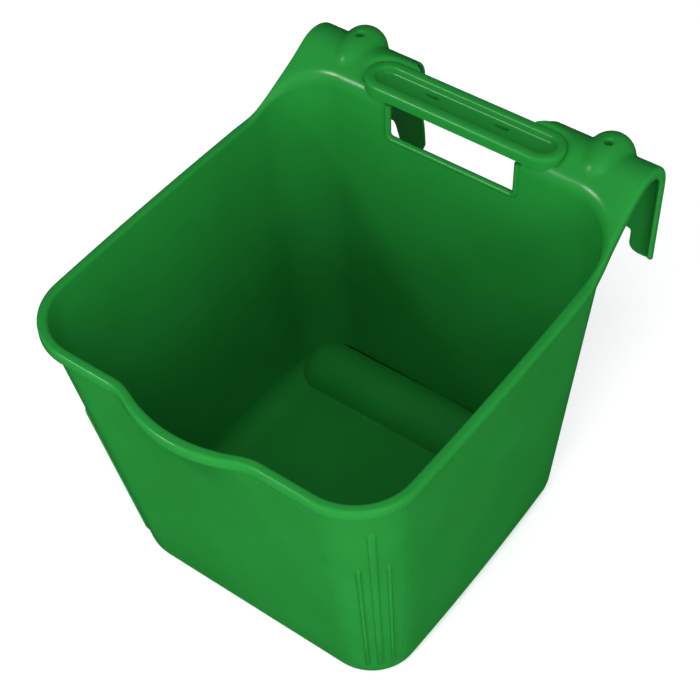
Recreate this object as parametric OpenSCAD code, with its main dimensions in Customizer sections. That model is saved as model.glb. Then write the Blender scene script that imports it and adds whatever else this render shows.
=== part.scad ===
/* [Tub] */
// Width across the rim
rim_w = 300; // [260:1:340]
// Height of the rim above the base
rim_h = 284; // [250:1:320]
// Width across the base, outside
base_w = 242; // [210:1:250]
// Depth inside the rim plane from its front edge to the back wall, outside
back_y = 310; // [290:1:320]
// How far the front wall leans in at the base
front_lean = 46; // [20:1:60]
// How far the back wall leans in at the base
back_lean = 3; // [0:0.5:10]
// Corner radius of the wall at the rim, outside
corner_top = 43; // [30:1:50]
// Corner radius of the wall at the base, outside
corner_base = 37; // [30:1:44]
// Radius where the walls turn into the base
base_edge = 22; // [10:1:24]
// How far the side walls bow outwards at mid length
side_bow = 3; // [0:0.5:5]
// Wall thickness
wall = 3; // [2.5:0.1:4]

/* [Rim and pouring lip] */
// How far the rim stands out past the wall
rim_out = 4.5; // [3:0.5:7]
// Height of the turned-down skirt of the rim
skirt_h = 7.5; // [5:0.5:10]
// Thickness of the rim
rim_t = 2.4; // [2:0.1:2.6]
// How far the pouring lip bulges forwards
lip_out = 14.5; // [8:0.5:18]
// Half width of the pouring lip
lip_half = 61; // [50:1:70]
// Height over which the lip fades into the front wall
lip_fade = 70; // [50:1:90]

/* [Hook-over saddle] */
// Half width of the saddle
saddle_half = 146; // [140:1:150]
// Outer face of the hook legs, measured from the front of the rim
hook_y = 364; // [350:1:370]
// Outer radius over the top of the hooks
crown_r = 27.5; // [22:0.5:28]
// Height of the crown above the base
crown_z = 322.5; // [315:0.5:330]
// Rise of the sloping flange, in degrees
slope = 30; // [25:1:35]
// Height of the lower end of the hook legs
hook_foot_z = 219; // [200:1:240]
// Depth of the stiffening lip round the hook ends
end_lip = 8; // [5:0.5:9]
// Width of the outer prong
outer_prong_w = 19; // [16:1:24]
// Inner side of the inner prong, from the middle
inner_prong_x = 59; // [58:0.5:62]
// Width of the inner prong at its foot
inner_prong_w = 21; // [18:1:26]
// Height of the notch between the prongs
notch_h = 20; // [14:1:40]

/* [Hand opening and handle] */
// Half width of the hand opening
open_half = 56; // [50:1:57]
// Lower edge of the hand opening
open_z = 277; // [270:1:280]
// Upper edge of the hand opening
open_top = 311; // [305:1:311]
// Radius of the handle's rounded ends
handle_r = 18; // [17:0.5:19]
// Half length of the handle
handle_half = 84.5; // [80:0.5:88]
// Height of the handle's bead above the base
handle_z = 321; // [319:0.5:323]
// Width of the bead round the channel
bead_w = 9; // [7:0.5:10]
// Depth of the channel in the handle
channel_deep = 6; // [4:0.5:7]
// Length of a drain slot
slot_len = 12.5; // [10:0.5:18]
// Width of a drain slot
slot_w = 3; // [2:0.5:4]

/* [Screw domes] */
// Distance of a screw hole from the middle
dome_x = 107; // [100:1:112]
// Radius of a screw dome
dome_r = 18; // [14:0.5:18.5]
// Diameter of a screw hole
screw_d = 6; // [4:0.5:7]

/* [Floor grip and corner ribs] */
// Half length of the hand-grip ridge in the base, without its rounded ends
grip_mid = 102; // [80:1:104]
// Outer radius of the scoop's ridge inside the tub
grip_r = 28; // [22:1:30]
// Middle of the scoop, from the front of the rim
grip_y = 288; // [280:1:290]
// How far a corner rib stands out
rib_out = 1.6; // [1:0.1:2.5]
// Top of the long middle rib
rib_top = 246; // [200:1:260]
// Top of the two shorter ribs
rib_side_top = 195; // [150:1:220]
// Lower end of the ribs
rib_foot = 28; // [23:1:40]

/* [Hidden] */
$fn = 64;
plastic = [0.11, 0.53, 0.25];
plastic_inner = [0.10, 0.44, 0.19];

// Points round one corner and along one side of the tub outline
arc_n = 12;
side_n = 24;
ring_n = 4 * (arc_n + side_n);
front_i = [3 * (arc_n + side_n) + arc_n, ring_n];
right_i = [arc_n, arc_n + side_n];
left_i = [3 * arc_n + 2 * side_n, 3 * (arc_n + side_n)];
fr_i = [0, arc_n];
br_i = [arc_n + side_n, 2 * arc_n + side_n];
bl_i = [2 * (arc_n + side_n), 3 * arc_n + 2 * side_n];
fl_i = [3 * (arc_n + side_n), 3 * (arc_n + side_n) + arc_n];

// The saddle's foot is where the flange leaves the rim plane
crown_y = hook_y - crown_r;
crown_c = crown_z - crown_r;
tangent_y = crown_y - crown_r * sin(slope);
tangent_z = crown_c + crown_r * cos(slope);
foot_r = 40;
foot_y = tangent_y - (tangent_z - rim_h) / tan(slope) - foot_r * tan(slope / 2);
leg_t = 3;
lip_t = 2.5;
slot_x = 30;
slot_y = 327;
handle_y = 323.5;
tube_r = 6;
dome_y = hook_y - 14;
hole_y = dome_y - 6;
dome_z = 328 - dome_r;
spot_z = dome_z + dome_r - 1;
tube_foot = 314;
// The rim's sides end at this step along the side, where the saddle starts
rim_back_n = 22;
rim_end_y = rim_out + corner_top + (back_y - rim_out - 2 * corner_top) * rim_back_n / side_n;

// The origin is the middle of the whole outline, on the base
module place() translate([0, -(hook_y - lip_out) / 2, 0]) children();
module mirrored(left) mirror([left ? 1 : 0, 0, 0]) children();

function mix(a, b, t) = a + (b - a) * t;

// Pouring lip: a shallow arc that runs out through a small fillet at each side
lip_blend = 8;
lip_arc = lip_half - 2 * lip_blend;
lip_d1 = lip_out / (1 + 2 * lip_blend / lip_arc);
lip_k = lip_out - lip_d1;
function lip_shape(x) =
    let (a = abs(x), u = (lip_half - a) / (2 * lip_blend))
    a < lip_arc ? lip_k + lip_d1 * (1 - pow(a / lip_arc, 2)) : a < lip_half ? lip_k * u * u : 0;
function lip_at(z) = pow(max(0, 1 - (rim_h - z) / lip_fade), 1.3);

// One point of a rounded outline, before the sides bow: i runs from the front
// right corner anticlockwise
function raw_point(i, hx, y0, y1, r) =
    let (q = floor(i / (arc_n + side_n)) % 4, k = i % (arc_n + side_n),
         sx = (q == 0 || q == 1) ? 1 : -1,
         sy = (q == 0 || q == 3) ? y0 + r : y1 - r,
         nx = (q == 3 || q == 0) ? 1 : -1, ny = (q < 2) ? y1 - r : y0 + r,
         a = -90 + 90 * q + 90 * min(k, arc_n) / arc_n,
         p = [sx * (hx - r) + r * cos(a), sy + r * sin(a)],
         e = 90 * q,
         nq = [nx * (hx - r) + r * cos(e), ny + r * sin(e)])
    k <= arc_n ? p : mix(p, nq, (k - arc_n) / side_n);
function bowed(p, hx, y0, y1) =
    let (v = (p[1] - (y0 + y1) / 2) / ((y1 - y0) / 2))
    [p[0] * (1 + side_bow / hx * max(0, 1 - v * v)), p[1]];

// Outline of the wall at height z, moved inwards by off
function wall_point(i, z, off) =
    let (t = z / rim_h,
         hx = mix(base_w / 2, rim_w / 2 - rim_out, t) - off,
         y0 = mix(rim_out + front_lean, rim_out, t) + off,
         y1 = mix(back_y - back_lean, back_y, t) - off,
         r = max(1, mix(corner_base, corner_top, t) - off),
         p = bowed(raw_point(i, hx, y0, y1, r), hx, y0, y1),
         front = p[1] < (y0 + y1) / 2 ? 1 : 0)
    [p[0], p[1] - front * lip_at(z) * lip_shape(p[0])];

// Outer and inner faces of the wall as [height, inset] pairs
edge_in = base_edge - wall;
levels = [0.2, 0.4, 0.6, 0.75, 0.82, 0.88, 0.94, 1];
outer_rows = concat(
    [for (a = [0:15:90]) [base_edge * (1 - cos(a)), base_edge * (1 - sin(a))]],
    [for (t = levels) [mix(base_edge, rim_h, t), 0]]);
inner_rows = concat(
    [for (t = [for (i = [len(levels) - 1:-1:0]) levels[i]]) [mix(base_edge, rim_h, t), wall]],
    [for (a = [90:-15:0]) [wall + edge_in * (1 - cos(a)), wall + edge_in * (1 - sin(a))]]);
wall_rows = concat(outer_rows, inner_rows);

// End face of a loft, as a strip between the first and second half of its m rows
function cap(m, at, flip) = [for (t = [
    for (k = [0:floor(m / 2) - 2]) each [[k, k + 1, m - 2 - k], [k, m - 2 - k, m - 1 - k]],
    if (m % 2 == 1) [(m - 3) / 2, (m - 1) / 2, (m + 1) / 2]])
    flip ? [at + t[2], at + t[1], at + t[0]] : [at + t[0], at + t[1], at + t[2]]];

// A loft of the given rows over part of the outline, closed at both ends
module loft(rows, i0, i1, step = 1) {
    m = len(rows);
    n = round((i1 - i0) / step) + 1;
    points = [for (k = [0:n - 1]) for (w = rows)
        concat(wall_point(i0 + k * step, w[0], w[1]), w[0] + (len(w) > 2 ? w[2] : 0))];
    skin = [for (i = [0:n - 2]) for (k = [0:m - 1])
        let (a = i * m + k, b = i * m + (k + 1) % m, c = a + m, d = b + m) each [[a, c, b], [b, c, d]]];
    polyhedron(points, concat(skin, cap(m, 0, false), cap(m, (n - 1) * m, true)), convexity = 6);
}

module wall_part(span) loft(wall_rows, span[0], span[1]);

// The hand opening goes through the top of the back wall
module hand_opening() translate([-open_half, back_y - 20, open_z])
    cube([2 * open_half, 40, open_top - open_z]);

module front_wall() color(plastic) place() wall_part(front_i);
module left_wall() color(plastic) place() wall_part(left_i);
module right_wall() color(plastic) place() wall_part(right_i);
module front_left_corner() color(plastic) place() wall_part(fl_i);
module front_right_corner() color(plastic) place() wall_part(fr_i);
module back_left_corner() color(plastic_inner) place() wall_part(bl_i);
module back_right_corner() color(plastic_inner) place() wall_part(br_i);

// The back wall is flat, so it is an extrusion of its section, narrowing downwards
module along_x(x0, x1) translate([x0, 0, 0]) rotate([90, 0, 90]) linear_extrude(x1 - x0) children();
function back_section(rows) = [for (w = rows) [mix(back_y - back_lean, back_y, w[0] / rim_h) - w[1], w[0]]];
back_half_top = rim_w / 2 - rim_out - corner_top;
back_half_base = base_w / 2 - corner_base;
module back_slab() intersection() {
    along_x(-back_half_top - 1, back_half_top + 1) polygon(back_section(wall_rows));
    translate([0, back_y + 1, 0]) rotate([90, 0, 0]) linear_extrude(base_edge + 10)
        polygon([[-back_half_base, 0], [back_half_base, 0], [back_half_top, rim_h], [-back_half_top, rim_h]]);
}
module back_wall() color(plastic_inner) place() difference() {
    back_slab();
    hand_opening();
    capsule(grip_r);
}

// Stadium outline along X
module stadium(half, r) union() {
    for (s = [-1, 1]) translate([s * (half - r), 0]) circle(r);
    square([2 * (half - r), 2 * r], center = true);
}

module floor_outline() polygon([for (i = [0:ring_n - 1]) wall_point(i, 0, base_edge)]);
module floor_panel() color(plastic_inner) place() difference() {
    linear_extrude(wall) floor_outline();
    translate([-back_half_base, grip_y - grip_r, -1]) cube([2 * back_half_base, 3 * grip_r, wall + 2]);
}

// Space inside the lower back half of the tub
cavity_rows = concat(
    [for (a = [0:15:90]) [wall + edge_in * (1 - cos(a)), wall + edge_in * (1 - sin(a))]],
    [[mix(base_edge, rim_h, levels[0]), wall]]);
module cavity() {
    span = [for (i = [right_i[0] + side_n / 2:left_i[0] + side_n / 2]) i];
    m = len(cavity_rows);
    n = len(span);
    points = [for (i = span) for (w = cavity_rows) concat(wall_point(i, w[0], w[1]), w[0])];
    skin = [for (i = [0:n - 1]) for (k = [0:m - 2])
        let (a = i * m + k, c = ((i + 1) % n) * m + k) each [[a, a + 1, c + 1], [a, c + 1, c]]];
    base = [for (i = [0:n - 1]) i * m];
    lid = [for (i = [n - 1:-1:0]) i * m + m - 1];
    polyhedron(points, concat(skin, [base, lid]), convexity = 4);
}

// The hand-grip scoop: a hollow half round ridge from corner to corner, open below and behind
module capsule(r) translate([0, grip_y, 0]) {
    for (side = [-1, 1]) translate([side * grip_mid, 0, 0]) sphere(r);
    rotate([0, 90, 0]) cylinder(r = r, h = 2 * grip_mid, center = true);
}
module hand_grip() color(plastic_inner) place() difference() {
    intersection() {
        capsule(grip_r);
        union() {
            cavity();
            along_x(-back_half_base, back_half_base) polygon(concat(
                [[grip_y - grip_r - 1, 0]], back_section([for (k = [0:7]) outer_rows[k]]),
                [[grip_y - grip_r - 1, outer_rows[7][0]]]));
        }
    }
    capsule(grip_r - wall);
}

// Rim: a flat top with a skirt turned down round the outside, as [height, inset, lift]
rim_section = [[rim_h, 0, 0], [rim_h, -rim_out + 1, 0], [rim_h, -rim_out, -1],
    [rim_h, -rim_out, -skirt_h], [rim_h, -rim_out + rim_t, -skirt_h],
    [rim_h, -rim_out + rim_t, -rim_t], [rim_h, 0, -rim_t]];
module rim_part(i0, i1) loft([for (k = [len(rim_section) - 1:-1:0]) rim_section[k]], i0, i1);
module rim_front() color(plastic) place() rim_part(front_i[0], front_i[1]);
module rim_right() color(plastic) place() rim_part(0, arc_n + rim_back_n);
module rim_left() color(plastic) place() mirror([1, 0, 0]) rim_part(0, arc_n + rim_back_n);

// Side profile of the saddle in the YZ plane, moved inwards by off
function profile(off) = concat(
    [[rim_end_y, rim_h - off]],
    [for (a = [0:5:slope]) [foot_y + (foot_r + off) * sin(a), rim_h + foot_r - (foot_r + off) * cos(a)]],
    [for (a = [90 + slope:-6:0]) [crown_y + (crown_r - off) * cos(a), crown_c + (crown_r - off) * sin(a)]]);
module profile_area(off, z0) polygon(concat(profile(off), [[hook_y - off, z0], [rim_end_y, z0]]));

// Outline of the back half of the tub in the rim plane
module back_outline(off) polygon([for (i = [right_i[0] + 18:left_i[0] + 6]) wall_point(i, rim_h, off)]);

// Crown: the arch behind the wall, from the hand opening to the side
module saddle(left) mirrored(left) difference() {
    along_x(open_half, saddle_half) intersection() {
        difference() {
            profile_area(0, rim_h);
            profile_area(leg_t, rim_h - 10);
        }
        translate([back_y, rim_h]) square([hook_y - back_y, 80]);
    }
    translate([0, handle_y, open_top]) linear_extrude(40) stadium(handle_half, handle_r);
    translate([dome_x, hole_y, 0]) cylinder(r = tube_r, h = 400);
}

// Flange: from the rim's end up to the crown, outside the rounded back corner
function slope_z(y, off) =
    let (u = y - foot_y, run = (foot_r + off) * sin(slope))
    u < 0 ? rim_h - off : u < run ? rim_h + foot_r - sqrt(pow(foot_r + off, 2) - u * u)
    : rim_h + foot_r - (foot_r + off) * cos(slope) + (u - run) * tan(slope);
flange_edge = [[rim_end_y, rim_w / 2 + 1.3], [256, rim_w / 2 + 1.2], [266, rim_w / 2 - 0.5], [281, 148],
    [300, saddle_half + 0.5], [back_y, saddle_half]];
module flange(left) mirrored(left) {
    span = [for (i = [arc_n + rim_back_n:br_i[1]]) i];
    m = 6;
    n = len(span);
    points = [for (i = span)
        let (w = wall_point(i, rim_h, 0), y = w[1], x = lookup(y, flange_edge),
              t = slope_z(y, 0), u = slope_z(y, rim_t))
        each [[w[0], y, t], [x, y, t], [x, y, t - skirt_h],
               [x - rim_t, y, t - skirt_h], [x - rim_t, y, u], [w[0], y, u]]];
    skin = [for (i = [0:n - 2]) for (k = [0:m - 1])
        let (a = i * m + k, b = i * m + (k + 1) % m, c = a + m, d = b + m) each [[a, b, c], [b, d, c]]];
    polyhedron(points, concat(skin, cap(m, 0, true), cap(m, (n - 1) * m, false)), convexity = 6);
}
module flange_left() color(plastic) place() flange(true);
module flange_right() color(plastic) place() flange(false);

// Stiffening lip under the end of the saddle, from the wall round to the leg
module saddle_lip(left) mirrored(left) along_x(saddle_half - lip_t, saddle_half) intersection() {
    difference() {
        profile_area(leg_t, rim_h);
        profile_area(end_lip, rim_h - 10);
    }
    translate([back_y, rim_h]) square([hook_y - back_y, 80]);
}
module saddle_lip_left() color(plastic) place() saddle_lip(true);
module saddle_lip_right() color(plastic) place() saddle_lip(false);
module saddle_left() color(plastic) place() saddle(true);
module saddle_right() color(plastic) place() saddle(false);

// The wall behind and beside the hand opening rises above the rim plane to the saddle
module upper_back(left) mirrored(left) difference() {
    intersection() {
        along_x(open_half, rim_w / 2) profile_area(0, rim_h);
        translate([0, 0, rim_h]) linear_extrude(60) back_outline(0);
    }
    translate([0, 0, rim_h - 1]) linear_extrude(80) back_outline(wall);
    translate([0, handle_y, open_top]) linear_extrude(40) stadium(handle_half, handle_r);
}
module upper_back_left() color(plastic_inner) place() upper_back(true);
module upper_back_right() color(plastic_inner) place() upper_back(false);

// Rear leg of a hook: a plate below the crown with a lip along its outer end
notch_z = hook_foot_z + notch_h;
module hook_leg(left) mirrored(left) union() {
    translate([inner_prong_x, hook_y - leg_t, notch_z])
        cube([saddle_half - inner_prong_x, leg_t, rim_h - notch_z]);
    translate([saddle_half - lip_t, hook_y - end_lip, notch_z]) cube([lip_t, end_lip, rim_h - notch_z]);
}
module hook_leg_left() color(plastic) place() hook_leg(true);
module hook_leg_right() color(plastic) place() hook_leg(false);

// Outer prong: the end of the leg, rounded below
prong_round = 8;
module outer_prong(left) mirrored(left) union() {
    x0 = saddle_half - outer_prong_w;
    translate([0, hook_y, 0]) rotate([90, 0, 0]) linear_extrude(leg_t) union() {
        translate([x0, hook_foot_z + prong_round]) square([outer_prong_w, notch_h - prong_round]);
        translate([x0 + prong_round, hook_foot_z + prong_round]) circle(prong_round);
        translate([saddle_half - prong_round, hook_foot_z + prong_round]) circle(prong_round);
        translate([x0 + prong_round, hook_foot_z]) square([outer_prong_w - 2 * prong_round, prong_round]);
    }
    translate([saddle_half - lip_t, hook_y - end_lip, hook_foot_z + prong_round])
        cube([lip_t, end_lip - leg_t, notch_h - prong_round]);
}
module outer_prong_left() color(plastic) place() outer_prong(true);
module outer_prong_right() color(plastic) place() outer_prong(false);

// Inner prong: a thicker tapered tongue beside the hand opening
prong_cut = 5;
module inner_prong(left) mirrored(left)
    translate([0, hook_y, 0]) rotate([90, 0, 0]) linear_extrude(leg_t)
        polygon([[inner_prong_x + prong_cut, hook_foot_z], [inner_prong_x, hook_foot_z + 2 * prong_cut],
            [inner_prong_x, notch_z], [inner_prong_x + inner_prong_w + 4, notch_z],
            [inner_prong_x + inner_prong_w, hook_foot_z]]);
module inner_prong_left() color(plastic) place() inner_prong(true);
module inner_prong_right() color(plastic) place() inner_prong(false);

// Handle: a stadium tray with a raised bead, drained by two slots
channel_r = handle_r - bead_w;
channel_half = handle_half - bead_w;
channel_z = handle_z - channel_deep;
module handle_bar() color(plastic) place() translate([0, handle_y, 0]) difference() {
    translate([0, 0, open_top]) linear_extrude(handle_z - open_top) stadium(handle_half, handle_r);
    translate([0, 0, channel_z]) linear_extrude(20) stadium(channel_half, channel_r);
    for (s = [-1, 1]) translate([s * slot_x, slot_y - handle_y, open_top - 1]) linear_extrude(20)
        stadium(slot_len / 2, slot_w / 2);
}

// Screw dome: a bullet lying on the flange, with a vertical screw hole
nose = [[0, 0], [dome_r, 0], [dome_r, 9], [dome_r - 2, 19], [dome_r - 6, 27], [dome_r - 12.5, 32], [0, 33.5]];
module bullet() translate([0, dome_y, dome_z]) rotate([90, 0, 0]) rotate_extrude() union() {
    intersection() {
        circle(dome_r);
        translate([0, -13.5]) square([dome_r, 13.5]);
    }
    polygon(nose);
}
module screw_dome(left) mirrored(left) difference() {
    union() {
        difference() {
            translate([dome_x, 0, 0]) bullet();
            along_x(dome_x - 20, dome_x + 20) profile_area(0, 200);
        }
        translate([dome_x, hole_y, tube_foot]) cylinder(r = tube_r, h = spot_z - tube_foot);
    }
    translate([dome_x, hole_y, spot_z]) cylinder(r = screw_d * 0.85, h = 10);
    translate([dome_x, hole_y, tube_foot - 1]) cylinder(d = screw_d, h = 30);
}
module screw_dome_left() color(plastic) place() screw_dome(true);
module screw_dome_right() color(plastic) place() screw_dome(false);

// Three upright ribs on a front corner; the middle one is the longest and widest
function rib_rows(top) = [[rib_foot, 0], [rib_foot + 8, -rib_out], [top - 12, -rib_out], [top, 0]];
rib_i = 6.2;
rib_step = 1.9;
module corner_ribs(left) mirrored(left) for (k = [-1, 0, 1])
    let (i = rib_i + k * rib_step, half = k == 0 ? 0.4 : 0.27)
    loft(rib_rows(k == 0 ? rib_top : rib_side_top), i - half, i + half, half);
module corner_ribs_left() color(plastic) place() corner_ribs(true);
module corner_ribs_right() color(plastic) place() corner_ribs(false);

front_wall();
back_wall();
left_wall();
right_wall();
front_left_corner();
front_right_corner();
back_left_corner();
back_right_corner();
floor_panel();
hand_grip();
rim_front();
rim_left();
rim_right();
flange_left();
flange_right();
saddle_left();
saddle_right();
saddle_lip_left();
saddle_lip_right();
upper_back_left();
upper_back_right();
hook_leg_left();
hook_leg_right();
outer_prong_left();
outer_prong_right();
inner_prong_left();
inner_prong_right();
handle_bar();
screw_dome_left();
screw_dome_right();
corner_ribs_left();
corner_ribs_right();
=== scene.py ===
"""Looks of a hook-over feed bucket: one glossy green moulding with a tub, a pouring lip,
a saddle with two hooks, a tray-shaped handle, two screw domes and corner ribs."""

import logging
import math
from dataclasses import dataclass, field
from enum import Enum
from typing import Callable, Sequence

import bmesh
import bpy
from mathutils import Matrix, Vector

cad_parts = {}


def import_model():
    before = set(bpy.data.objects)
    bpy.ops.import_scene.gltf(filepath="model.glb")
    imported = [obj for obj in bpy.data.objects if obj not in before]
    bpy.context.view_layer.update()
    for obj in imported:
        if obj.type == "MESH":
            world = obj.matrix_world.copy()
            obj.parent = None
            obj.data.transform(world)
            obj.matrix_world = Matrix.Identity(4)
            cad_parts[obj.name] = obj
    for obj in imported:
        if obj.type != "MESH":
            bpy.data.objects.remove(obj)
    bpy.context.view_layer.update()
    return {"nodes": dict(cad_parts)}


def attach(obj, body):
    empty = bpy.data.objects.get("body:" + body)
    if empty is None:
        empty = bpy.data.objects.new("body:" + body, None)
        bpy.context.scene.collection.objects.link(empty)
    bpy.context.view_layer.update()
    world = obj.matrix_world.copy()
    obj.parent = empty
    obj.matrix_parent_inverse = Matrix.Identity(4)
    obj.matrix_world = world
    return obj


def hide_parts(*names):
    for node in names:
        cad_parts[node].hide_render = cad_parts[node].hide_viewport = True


log = logging.getLogger("feed_bucket")
MM = 0.001
MIDDLE_Y = 174.75
WELD = 0.00002


class Half(Enum):
    """Which half of the bucket a piece stands on."""

    LEFT = -1
    RIGHT = 1


def smooth_step(low: float, high: float, value: float) -> float:
    """Eases from 0 at low to 1 at high."""
    t = min(1.0, max(0.0, (value - low) / (high - low)))
    return t * t * (3 - 2 * t)


def smooth_max(a: float, b: float, reach: float) -> float:
    """Larger of two heights, blended where they are within reach of each other."""
    h = max(reach - abs(a - b), 0.0) / reach
    return max(a, b) + h * h * reach / 4


def placed(x: float, y: float, z: float) -> Vector:
    """Turns millimetres measured from the front of the rim into the shared frame's metres."""
    return Vector((x * MM, (y - MIDDLE_Y) * MM, z * MM))


def table_value(rows: Sequence[tuple[float, float]], at: float) -> float:
    """Reads a value off a short table of sizes.

    Args:
        rows: Pairs of place and size, in rising order of place.
        at: The place to read.

    Returns:
        The size there, held level past both ends.
    """
    if at <= rows[0][0]:
        return rows[0][1]
    for (a, va), (b, vb) in zip(rows, rows[1:]):
        if at <= b:
            return va + (vb - va) * (at - a) / (b - a)
    return rows[-1][1]


def turn_steps(degrees: float, first: int, last: int) -> list[float]:
    """Angles in radians at even steps of a turn, from the first step to the last."""
    return [math.radians(degrees * k) for k in range(first, last + 1)]


def whole(bm: bmesh.types.BMesh) -> list:
    """All vertices, edges and faces of a mesh."""
    return list(bm.verts) + list(bm.edges) + list(bm.faces)


def with_edges(faces: list[bmesh.types.BMFace]) -> list:
    """Faces together with their edges and vertices."""
    return faces + list({e for f in faces for e in f.edges}) + list({v for f in faces for v in f.verts})


def faces_where(bm: bmesh.types.BMesh, test: Callable[[Vector], bool]) -> list[bmesh.types.BMFace]:
    """Faces whose middle passes a test."""
    return [f for f in bm.faces if test(f.calc_center_median())]


def mirror_half(bm: bmesh.types.BMesh, reach: float) -> None:
    """Mirrors a right half to the left and turns all faces one way.

    Args:
        bm: The half, in metres.
        reach: Points this near to the middle plane are put onto it first.
    """
    for v in bm.verts:
        if abs(v.co.x) < reach:
            v.co.x = 0
    bmesh.ops.mirror(bm, geom=whole(bm), axis="X", merge_dist=WELD)
    bmesh.ops.recalc_face_normals(bm, faces=list(bm.faces))


@dataclass
class WallOutline:
    """Rounded outline of the tub's outside at any height, with the pouring lip."""

    rim_h: float = 284.0
    rim_half: float = 145.5
    base_half: float = 121.0
    front_top: float = 4.5
    front_base: float = 50.5
    back_top: float = 310.0
    back_base: float = 307.0
    corner_top: float = 43.0
    corner_base: float = 37.0
    bow: float = 3.0
    lip_out: float = 14.5
    lip_half: float = 61.0
    lip_blend: float = 8.0
    lip_fade: float = 70.0

    def lip_shape(self, x: float) -> float:
        """How far the pouring lip stands out at a distance x from the middle."""
        a, arc = abs(x), self.lip_half - 2 * self.lip_blend
        shallow = self.lip_out / (1 + 2 * self.lip_blend / arc)
        foot = self.lip_out - shallow
        if a < arc:
            return foot + shallow * (1 - (a / arc) ** 2)
        return foot * ((self.lip_half - a) / (2 * self.lip_blend)) ** 2 if a < self.lip_half else 0.0

    def lip_at(self, z: float) -> float:
        """Share of the lip that is left at a height z."""
        return max(0.0, 1 - (self.rim_h - min(z, self.rim_h)) / self.lip_fade) ** 1.3

    def point(self, i: float, z: float, inset: float) -> tuple[float, float]:
        """One point of the outline.

        Args:
            i: Station round the outline: 0 to 12 is the front right corner, 12 to 36 the right side.
            z: Height in millimetres.
            inset: Distance inwards from the outer face.

        Returns:
            The place across and along the tub, in millimetres.
        """
        t = z / self.rim_h
        hx = self.base_half + (self.rim_half - self.base_half) * t - inset
        y0 = self.front_base + (self.front_top - self.front_base) * t + inset
        y1 = self.back_base + (self.back_top - self.back_base) * t - inset
        r = max(0.5, self.corner_base + (self.corner_top - self.corner_base) * t - inset)
        q, k = int(i // 36) % 4, i % 36
        sx = hx - r if q in (0, 1) else r - hx
        sy = y0 + r if q in (0, 3) else y1 - r
        a = math.radians(-90 + 90 * q + 7.5 * min(k, 12))
        x, y = sx + r * math.cos(a), sy + r * math.sin(a)
        if k > 12:
            nx = hx - r if q in (3, 0) else r - hx
            ny = y1 - r if q < 2 else y0 + r
            e = math.radians(90 * q)
            f = (k - 12) / 24
            x += (nx + r * math.cos(e) - x) * f
            y += (ny + r * math.sin(e) - y) * f
        v = (y - (y0 + y1) / 2) / ((y1 - y0) / 2)
        x *= 1 + self.bow / hx * max(0.0, 1 - v * v)
        if v < 0:
            y -= self.lip_at(z) * self.lip_shape(x)
        return x, y

    def outward(self, i: float, z: float) -> Vector:
        """Direction that points straight out of the wall at a station."""
        ax, ay = self.point(i - 0.02, z, 0)
        bx, by = self.point(i + 0.02, z, 0)
        return Vector((by - ay, ax - bx, 0)).normalized()


@dataclass
class ArchProfile:
    """Side profile of the saddle: foot curve, slope, crown and leg, by length along it."""

    rim_h: float = 284.0
    hook_y: float = 364.0
    crown_r: float = 27.5
    crown_z: float = 322.5
    slope: float = math.radians(30)
    foot_r: float = 40.0

    def __post_init__(self) -> None:
        """Works out where the slope starts and ends."""
        self.crown_y = self.hook_y - self.crown_r
        self.crown_c = self.crown_z - self.crown_r
        self.top_y = self.crown_y - self.crown_r * math.sin(self.slope)
        self.top_z = self.crown_c + self.crown_r * math.cos(self.slope)
        rise = self.top_z - self.rim_h
        self.foot_y = self.top_y - rise / math.tan(self.slope) - self.foot_r * math.tan(self.slope / 2)
        self.foot_len = self.foot_r * self.slope
        foot_end = self.foot_y + self.foot_r * math.sin(self.slope)
        self.run_len = (self.top_y - foot_end) / math.cos(self.slope)
        self.arc_len = self.crown_r * (math.pi / 2 + self.slope)
        self.leg_start = self.foot_y + self.foot_len + self.run_len + self.arc_len

    def at(self, s: float) -> tuple[float, float, float]:
        """Place and tilt on the profile.

        Args:
            s: Length along the profile. It equals the place along the tub up to the foot curve.

        Returns:
            Place along the tub, height, and the tilt of the surface in radians.
        """
        u = s - self.foot_y
        if u <= 0:
            return s, self.rim_h, 0.0
        if u < self.foot_len:
            a = u / self.foot_r
            return self.foot_y + self.foot_r * math.sin(a), self.rim_h + self.foot_r * (1 - math.cos(a)), a
        u -= self.foot_len
        if u < self.run_len:
            y = self.foot_y + self.foot_r * math.sin(self.slope) + u * math.cos(self.slope)
            z = self.rim_h + self.foot_r * (1 - math.cos(self.slope)) + u * math.sin(self.slope)
            return y, z, self.slope
        u -= self.run_len
        if u < self.arc_len:
            a = self.slope - u / self.crown_r
            return self.crown_y - self.crown_r * math.sin(a), self.crown_c + self.crown_r * math.cos(a), a
        return self.hook_y, self.crown_c - (u - self.arc_len), -math.pi / 2

    def length_at(self, y: float) -> float:
        """Length along the profile where it passes a place y short of the crown."""
        low, high = y - 5, y + 30
        for _ in range(40):
            mid = (low + high) / 2
            low, high = (mid, high) if self.at(mid)[0] < y else (low, mid)
        return (low + high) / 2

    def leg_length(self, z: float) -> float:
        """Length along the profile at a height z on the leg."""
        return self.leg_start + self.crown_c - z

    def sunk(self, y: float, depth: float) -> float:
        """Height of the profile at a place y, moved in by a depth."""
        u = y - self.foot_y
        run = (self.foot_r + depth) * math.sin(self.slope)
        if u < 0:
            return self.rim_h - depth
        if u < run:
            return self.rim_h + self.foot_r - math.sqrt((self.foot_r + depth) ** 2 - u * u)
        top = self.rim_h + self.foot_r - (self.foot_r + depth) * math.cos(self.slope)
        return top + (u - run) * math.tan(self.slope)

    def tilt_sunk(self, y: float, depth: float) -> float:
        """Tilt of the moved-in profile at a place y short of the crown."""
        share = (y - self.foot_y) / (self.foot_r + depth)
        return min(self.slope, math.asin(min(1.0, max(0.0, share))))


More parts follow.
